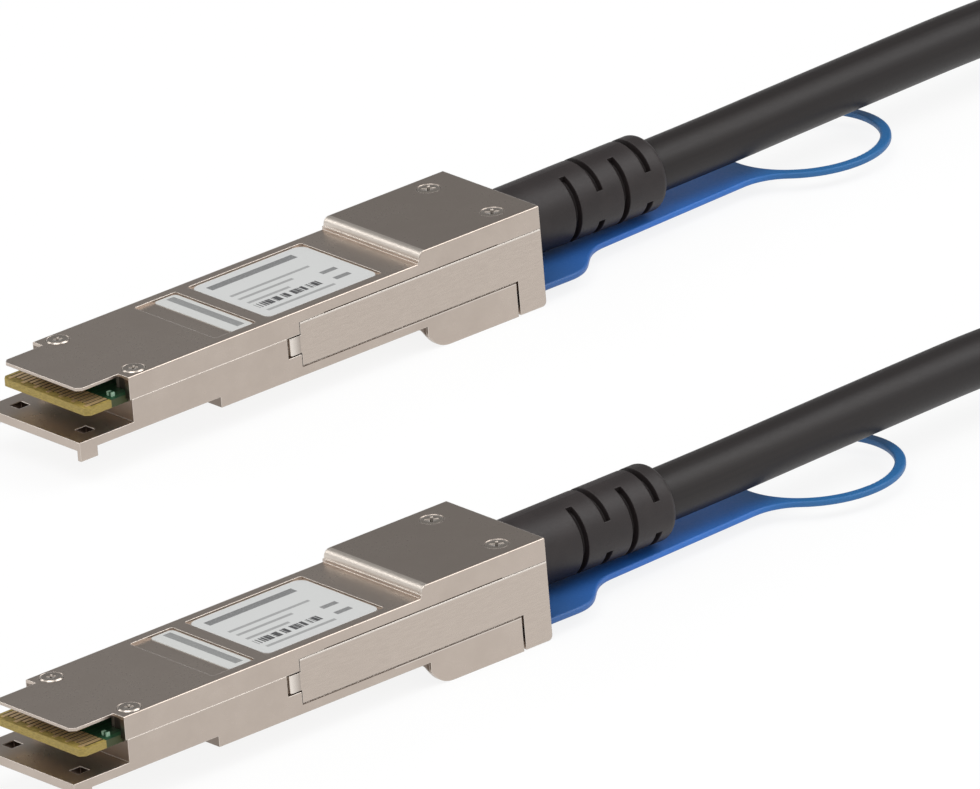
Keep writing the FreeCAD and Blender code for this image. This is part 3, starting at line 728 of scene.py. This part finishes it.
# labels: pale film with plain printed bars, in the connector's axes
labelFilm = {
    "fibreNoise": (5.0, 3.0, 0.6),
    "wornRange": (0.8, 1.0, 0.3, 0.5),
    "unevenNoise": (1.5, 2.0, 0.8),
    "barAbove": 0.48,
    "roughness": 0.34,
    "fibreRough": 0.14,
    "inkRough": 0.08,
    "bump": (0.06, 0.01),
}
mainPrint = {
    "paper": (197, 198, 197),
    "ink": (58, 58, 60),
    "rows": [  # first and last x, first and last y, how dark
        (33.5, 47.2, 4.8, 6.1, 0.75),
        (33.6, 46.2, 1.2, 1.75, 0.5),
        (33.6, 42.3, -0.35, 0.2, 0.5),
        (33.6, 40.3, -2.1, -1.55, 0.5),
        (33.7, 44.5, -5.75, -5.2, 0.5),
        (45.6, 48.0, -2.0, -1.1, 0.7),
        (45.6, 48.0, -4.6, -3.7, 0.7),
    ],
    "stripes": (33.6, 43.6, -4.3, -2.8),
}
stripPrint = {
    "paper": (196, 197, 195),
    "ink": (66, 66, 68),
    "rows": [(27.9, 29.1, -6.6, 7.0, 0.65)],
    "stripes": None,
}


def labelFinish(name, look, film, origin):
    finish = Finish(name, Specular_IOR_Level=0.5)
    places = finish.places(origin)
    x, y = finish.axes(places)[:2]
    fibre = finish.noise(places, *film["fibreNoise"])
    ink = 0.0
    for x0, x1, y0, y1, depth in look["rows"]:
        ink = inside(x, x0, x1) * inside(y, y0, y1) * depth + ink
    if look["stripes"]:
        x0, x1, y0, y1 = look["stripes"]
        uneven = finish.noise(finish.places(origin, (1, 0, 0)), *film["unevenNoise"])
        ink = inside(x, x0, x1) * inside(y, y0, y1) * (uneven > film["barAbove"]) + ink
    worn = finish.spread(fibre, *film["wornRange"])
    rough = film["roughness"] + fibre * film["fibreRough"] + ink * film["inkRough"]
    return finish.wear(
        Base_Color=finish.blend(ink * worn, paint(*look["paper"]), paint(*look["ink"])),
        Roughness=rough,
        Normal=finish.bump(fibre, *film["bump"]),
    )


for end, origin in origins.items():
    dress(cardFinish("cardBoard_" + end, cardBoard, origin), "paddle_card_" + end)
    dress(ceramicFinish("capacitorCeramic_" + end, ceramic, origin), "capacitors_" + end)
    dress(braidFinish("shieldBraid_" + end, braid, origin), "braid_bundle_" + end)
    dress(labelFinish("mainLabelPrint_" + end, mainPrint, labelFilm, origin),
          "main_label_" + end)
    dress(labelFinish("stripLabelPrint_" + end, stripPrint, labelFilm, origin),
          "strip_label_" + end)
print("materials made")

# screws: countersunk, with a tapered cross recess
screwShape = {
    # in millimetres: radii of head and shank, depths of cone and recess, width of the flat rim
    "head": 1.5,
    "cone": 0.95,
    "shank": 0.78,
    "rim": 0.24,
    "armDepth": 0.75,
    "taper": 0.45,
    "turn": math.radians(50),
    "sides": 48,
    "wornEdge": 0.04,
    "wornAngle": math.radians(35),
    "smoothAngle": math.radians(30),
    "front": {"spot": (10.8, 7.25), "top": 8.45, "tip": 2.3, "rise": 0.16, "arm": 0.78,
              "armWidth": 0.36},
    "rear": {"spot": (69.55, 6.05), "top": 9.95, "tip": 1.8, "rise": 0.06, "arm": 1.22,
             "armWidth": 0.5},
}


def selectFaces(obj, test):
    bpy.ops.mesh.select_mode(type="FACE")
    bpy.ops.mesh.select_all(action="DESELECT")
    bpy.ops.object.mode_set(mode="OBJECT")
    for face in obj.data.polygons:
        face.select = test(face)
    bpy.ops.object.mode_set(mode="EDIT")


def makeRecess(shape, kind, place):
    # two crossed bars, narrower at their lower ends
    cutters = []
    for size in ((kind["arm"], kind["armWidth"] / 2), (kind["armWidth"] / 2, kind["arm"])):
        bpy.ops.mesh.primitive_cube_add(size=2 * mm, location=place)
        cutter = bpy.context.object
        cutter.scale = (size[0], size[1], shape["armDepth"])
        cutter.rotation_euler.z = shape["turn"]
        bpy.ops.object.transform_apply(location=False)
        bpy.ops.object.mode_set(mode="EDIT")
        selectFaces(cutter, lambda face: face.normal.z < -0.5)
        bpy.ops.transform.resize(value=(shape["taper"], shape["taper"], 1))
        bpy.ops.object.mode_set(mode="OBJECT")
        cutters.append(cutter)
    return cutters


def makeScrew(name, shape, kind, spot):
    top, tip = kind["top"] * mm, kind["tip"] * mm
    neck = top - shape["cone"] * mm
    bpy.ops.mesh.primitive_cylinder_add(
        vertices=shape["sides"], radius=shape["shank"] * mm, depth=neck - tip,
        location=spot + Vector((0, 0, (neck + tip) / 2)))
    screw = bpy.context.object
    screw.name = name
    bpy.ops.object.mode_set(mode="EDIT")
    selectFaces(screw, lambda face: face.normal.z > 0.5)
    bpy.ops.mesh.extrude_region_move(TRANSFORM_OT_translate={"value": (0, 0, top - neck)})
    grow = shape["head"] / shape["shank"]
    bpy.ops.transform.resize(value=(grow, grow, 1))
    bpy.ops.mesh.inset(thickness=shape["rim"] * mm)
    bpy.ops.transform.translate(value=(0, 0, kind["rise"] * mm))
    bpy.ops.object.mode_set(mode="OBJECT")
    cutters = makeRecess(shape, kind, spot + Vector((0, 0, top + kind["rise"] * mm)))
    for cutter in cutters:
        cut = screw.modifiers.new("recess", "BOOLEAN")
        cut.operation = "DIFFERENCE"
        cut.solver = "EXACT"
        cut.object = cutter
        bpy.context.view_layer.objects.active = screw
        bpy.ops.object.modifier_apply(modifier=cut.name)
    for cutter in cutters:
        bpy.data.objects.remove(cutter)
    worn = screw.modifiers.new("wornEdges", "BEVEL")
    worn.width = shape["wornEdge"] * mm
    worn.segments = 2
    worn.limit_method = "ANGLE"
    worn.angle_limit = shape["wornAngle"]
    bpy.ops.object.modifier_apply(modifier=worn.name)
    return screw


def joinPieces(pieces, material, angle):
    # one mesh in one material, smooth wherever it turns by less than the angle
    bpy.ops.object.select_all(action="DESELECT")
    for piece in pieces:
        piece.select_set(True)
    bpy.context.view_layer.objects.active = pieces[0]
    bpy.ops.object.join()
    bpy.ops.object.transform_apply()
    bpy.ops.object.shade_smooth_by_angle(angle=angle)
    pieces[0].data.materials.append(material)
    bpy.ops.object.select_all(action="DESELECT")
    return pieces[0]


def makeScrewPair(label, shape, kind, origin, material):
    screws = []
    x, y = (c * mm for c in kind["spot"])
    for side in (-1, 1):
        screws.append(makeScrew(label, shape, kind, origin + Vector((x, side * y, 0))))
    pair = joinPieces(screws, material, shape["smoothAngle"])
    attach(pair, "cable_assembly")
    return pair


# screw steel: bright on the head, with painted shade in the recess and down the countersink
screwSteel = {
    "base": (0.54, 0.48, 0.43, 1),
    "dull": (0.44, 0.39, 0.34, 1),
    "paintedRecessShade": (0.08, 0.07, 0.06, 1),
    "deepShare": 0.9,
    "deepBelow": (0.03, 0.16),
    "grainNoise": (3.0, 3.0),
    "bump": (0.12, 0.02),
    "roughness": (0.2, 0.3),
}


def screwFinish(name, look, origin, top):
    finish = Finish(name, Metallic=1.0)
    places = finish.places(origin)
    z = finish.axes(places)[2]
    grain = finish.noise(places, *look["grainNoise"])
    colour = finish.blend(finish.spread(grain, 0.0, 1.0, *narrowNoise), look["base"],
                          look["dull"])
    start, full = look["deepBelow"]
    # painted shade below the head's top
    depth = finish.spread(z, 0.0, look["deepShare"], top - start, top - full)
    return finish.wear(
        Base_Color=finish.blend(depth, colour, look["paintedRecessShade"]),
        Roughness=finish.spread(grain, *look["roughness"], *wideNoise),
        Normal=finish.bump(grain, *look["bump"]),
    )


for end, origin in origins.items():
    for kind in ("front", "rear"):
        steel = screwFinish(kind + "ScrewSteel_" + end, screwSteel, origin,
                            screwShape[kind]["top"])
        pair = makeScrewPair(kind + "Screws_" + end, screwShape, screwShape[kind], origin, steel)
        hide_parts(kind + "_screws_" + end)
print("screws made")

# return springs: round wire between the yoke's lugs and the shell
springShape = {
    # radii of wire and coil, then places and lengths in the connector's axes
    "wire": 0.15,
    "coil": 0.9,
    "first": 61.5,
    "length": 6.4,
    "turns": 5,
    "apart": 7.125,
    "height": 3.65,
    "sides": 8,
    "steps": 18,
    "weld": 0.002,
    "smoothAngle": math.radians(50),
    "pull": 2.2,
}


def windSpring(name, shape, place):
    bpy.ops.mesh.primitive_circle_add(vertices=shape["sides"], radius=shape["wire"] * mm,
                                      location=place)
    spring = bpy.context.object
    spring.name = name
    bpy.ops.object.mode_set(mode="EDIT")
    bpy.ops.mesh.select_all(action="SELECT")
    bpy.ops.transform.translate(value=(0, shape["coil"] * mm, 0))
    bpy.ops.object.mode_set(mode="OBJECT")
    wind = spring.modifiers.new("wind", "SCREW")
    wind.axis = "X"
    wind.angle = math.tau
    wind.screw_offset = shape["length"] / shape["turns"] * mm
    wind.iterations = shape["turns"]
    wind.steps = wind.render_steps = shape["steps"]
    bpy.ops.object.modifier_apply(modifier=wind.name)
    bpy.ops.object.mode_set(mode="EDIT")
    bpy.ops.mesh.select_mode(type="VERT")
    bpy.ops.mesh.select_all(action="SELECT")
    bpy.ops.mesh.remove_doubles(threshold=shape["weld"] * mm)
    bpy.ops.mesh.select_all(action="DESELECT")
    bpy.ops.mesh.select_non_manifold()
    bpy.ops.mesh.fill_holes(sides=0)
    bpy.ops.mesh.select_all(action="SELECT")
    bpy.ops.mesh.normals_make_consistent(inside=False)
    bpy.ops.object.mode_set(mode="OBJECT")
    return spring


def makeSpringPair(shape, end, origin):
    springs = []
    for side in (-1, 1):
        place = Vector((shape["first"], side * shape["apart"], shape["height"])) * mm
        springs.append(windSpring("coilSprings_" + end, shape, origin + place))
    steel = nodes["return_springs_" + end].material_slots[0].material
    pair = joinPieces(springs, steel, shape["smoothAngle"])
    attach(pair, "cable_assembly")
    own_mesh(pair)
    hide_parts("return_springs_" + end)


for end, origin in origins.items():
    makeSpringPair(springShape, end, origin)
print("springs made")

# floor: white where the camera or a reflection sees it, with the object's soft shadow
floorLook = {
    "size": 14.0,
    "colour": (0.86, 0.86, 0.86, 1),
    "shown": 0.86,
    "white": (1, 1, 1, 1),
    "roughness": 0.9,
}


def makeFloor(look):
    bpy.ops.mesh.primitive_plane_add(size=look["size"], location=(0, 0, 0))
    floor = bpy.context.object
    floor.name = "floor"
    finish = Finish("floorWhite", Roughness=look["roughness"], Specular_IOR_Level=0.0)
    finish.shader.inputs["Base Color"].default_value = look["colour"]
    rays = finish.add("ShaderNodeLightPath").socket.node
    camera, glossy, through = (Link(finish, rays.outputs[name]) for name in (
        "Is Camera Ray", "Is Glossy Ray", "Is Transmission Ray"))
    seen = camera.atLeast(glossy).atLeast(through) * look["shown"]
    glow = finish.add("ShaderNodeEmission", {}, {"Color": look["white"], "Strength": 1.0})
    mixed = finish.add("ShaderNodeMixShader", {}, {
        0: seen, 1: Link(finish, finish.shader.outputs[0]), 2: glow,
    })
    output = finish.tree.nodes["Material Output"]
    finish.tree.links.new(mixed.socket, output.inputs["Surface"])
    floor.data.materials.append(finish.material)
    bpy.ops.object.select_all(action="DESELECT")


makeFloor(floorLook)

# light: a pale room that is dimmer beyond the object, and three soft boxes
roomLight = {
    "near": 0.9,
    "far": 0.29,
    "fade": (-0.3, 0.75),
    "away": (0.617, 0.787, 0.0),
    "horizon": 1.0,
    "rise": (0.05, 0.2),
    "colour": (1, 1, 1, 1),
}
softBoxMiddle = originA + Vector((30, -20, 0)) * mm
softBoxes = {
    "key": {"towards": (0.574, -0.375, 0.727), "distance": 1.3, "size": 0.9, "power": 6.5},
    "top": {"towards": (-0.35, -0.1, 0.93), "distance": 1.4, "size": 0.8, "power": 5.0},
    "back": {"towards": (-0.376, 0.724, 0.578), "distance": 1.3, "size": 0.5, "power": 1.8},
}


def makeRoom(look):
    world = bpy.data.worlds.new("room")
    bpy.context.scene.world = world
    world.use_nodes = True
    tree = world.node_tree
    coords = tree.nodes.new("ShaderNodeTexCoord")
    facing = tree.nodes.new("ShaderNodeVectorMath")
    facing.operation = "DOT_PRODUCT"
    facing.inputs[1].default_value = look["away"]
    fade = tree.nodes.new("ShaderNodeMapRange")
    fade.interpolation_type = "SMOOTHSTEP"
    for socket, value in zip((1, 2, 3, 4), (*look["fade"], look["near"], look["far"])):
        fade.inputs[socket].default_value = value
    height = tree.nodes.new("ShaderNodeSeparateXYZ")
    rise = tree.nodes.new("ShaderNodeMapRange")
    rise.interpolation_type = "SMOOTHSTEP"
    for socket, value in zip((1, 2, 3), (*look["rise"], look["horizon"])):
        rise.inputs[socket].default_value = value
    tree.links.new(coords.outputs["Generated"], facing.inputs[0])
    tree.links.new(coords.outputs["Generated"], height.inputs[0])
    tree.links.new(facing.outputs["Value"], fade.inputs[0])
    tree.links.new(height.outputs["Z"], rise.inputs[0])
    tree.links.new(fade.outputs[0], rise.inputs[4])
    tree.links.new(rise.outputs[0], tree.nodes["Background"].inputs["Strength"])
    tree.nodes["Background"].inputs["Color"].default_value = look["colour"]


def makeSoftBox(name, look):
    lamp = bpy.data.lights.new(name, "AREA")
    lamp.energy = look["power"]
    lamp.size = look["size"]
    box = bpy.data.objects.new(name, lamp)
    bpy.context.scene.collection.objects.link(box)
    towards = Vector(look["towards"]).normalized()
    box.location = softBoxMiddle + towards * look["distance"]
    box.rotation_mode = "QUATERNION"
    box.rotation_quaternion = towards.to_track_quat("Z", "Y")


makeRoom(roomLight)
for name, look in softBoxes.items():
    makeSoftBox(name, look)
bpy.context.scene.view_settings.view_transform = "Standard"
print("floor and lights made")
